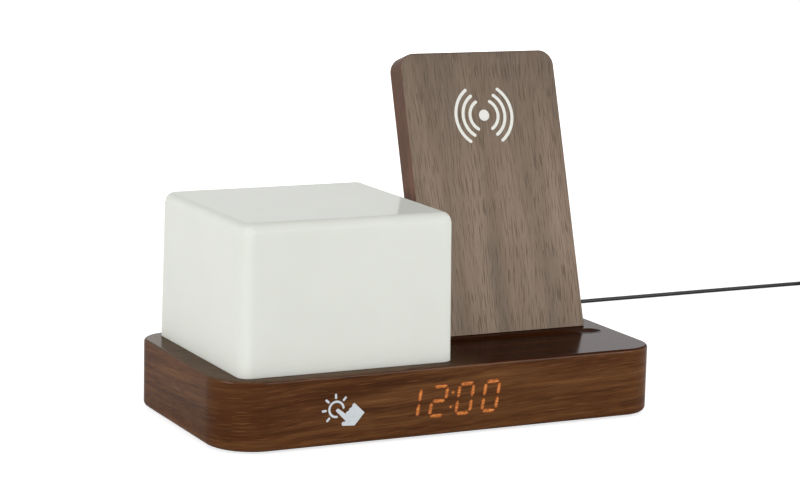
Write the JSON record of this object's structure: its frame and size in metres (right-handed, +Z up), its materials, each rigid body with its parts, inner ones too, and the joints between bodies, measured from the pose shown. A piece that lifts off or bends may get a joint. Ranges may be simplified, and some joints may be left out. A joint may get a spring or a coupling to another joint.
{
  "type": "digital alarm clock",
  "caption": "Bedside clock base with a seven-segment display behind its front wall, an opal night lamp and a leaning charging stand, with a captive power lead.",
  "frame": {"origin": "on the table, under the middle of the base's rectangle", "axes": "+X to the right along the front, +Y to the rear, +Z up"},
  "size_m": [0.4767, 0.2217, 0.148],
  "materials": {
    "walnut": "dark walnut grain under a glossy clear coat",
    "grey_walnut": "grey-brown walnut grain, satin",
    "opal": "opal white, satin gloss",
    "black_plastic": "fine moulded texture",
    "button_plastic": "smooth satin",
    "white_plastic": "plain white",
    "led": "phosphor yellow lens",
    "circuit_board": "green solder mask",
    "foot_rubber": "matt",
    "lead_jacket": "smooth black jacket",
    "screw_steel": "zinc plated",
    "plug_metal": "nickel plated",
    "copper": "enamelled copper",
    "ferrite": "dark grey sheet"
  },
  "bodies": {
    "housing": {"base_shell": "walnut", "bottom_cover": "black_plastic", "foot_front_left": "foot_rubber", "foot_front_right": "foot_rubber", "foot_rear_left": "foot_rubber", "foot_rear_right": "foot_rubber", "cover_screw_front_left": "screw_steel", "cover_screw_front_right": "screw_steel", "cover_screw_rear_left": "screw_steel", "cover_screw_rear_right": "screw_steel", "lamp_shade": "opal", "lamp_board": "white_plastic", "lamp_led_front_left": "led", "lamp_led_front_middle": "led", "lamp_led_front_right": "led", "lamp_led_rear_left": "led", "lamp_led_rear_middle": "led", "lamp_led_rear_right": "led", "lamp_screw_1": "screw_steel", "lamp_screw_2": "screw_steel", "main_board": "circuit_board", "buzzer": "black_plastic", "cell_holder": "white_plastic", "coin_cell": "screw_steel", "main_screw_1": "screw_steel", "main_screw_2": "screw_steel", "display_mask": "black_plastic", "display_board": "circuit_board", "display_screw_1": "screw_steel", "display_screw_2": "screw_steel", "touch_foil": "copper", "touch_foam": "foot_rubber", "button_board": "circuit_board", "switch_set": "black_plastic", "switch_up": "black_plastic", "switch_down": "black_plastic", "button_screw_1": "screw_steel", "button_screw_2": "screw_steel", "strain_relief": "lead_jacket", "power_lead": "lead_jacket", "power_lead_coil": "lead_jacket", "plug_body": "lead_jacket", "plug_shell": "plug_metal", "plug_tongue": "white_plastic", "stand_panel": "grey_walnut", "stand_rear_cover": "black_plastic", "charging_coil": "copper", "ferrite_sheet": "ferrite", "charger_board": "circuit_board", "stand_lead": "lead_jacket", "rear_screw_low_left": "screw_steel", "rear_screw_low_right": "screw_steel", "rear_screw_top_left": "screw_steel", "rear_screw_top_right": "screw_steel", "stand_screw_left": "screw_steel", "stand_screw_right": "screw_steel"},
    "set_key": {"button_set": "button_plastic"},
    "up_key": {"button_up": "button_plastic"},
    "down_key": {"button_down": "button_plastic"}
  },
  "joints": [
    {"name": "set_press", "type": "slide", "parent": "housing", "child": "set_key", "axis": [0, -1, 0], "range_m": [0, 0.0005], "stiffness_N_per_m": 2000, "springref_m": -0.0002},
    {"name": "up_press", "type": "slide", "parent": "housing", "child": "up_key", "axis": [0, -1, 0], "range_m": [0, 0.0005], "stiffness_N_per_m": 2000, "springref_m": -0.0002},
    {"name": "down_press", "type": "slide", "parent": "housing", "child": "down_key", "axis": [0, -1, 0], "range_m": [0, 0.0005], "stiffness_N_per_m": 2000, "springref_m": -0.0002}
  ]
}
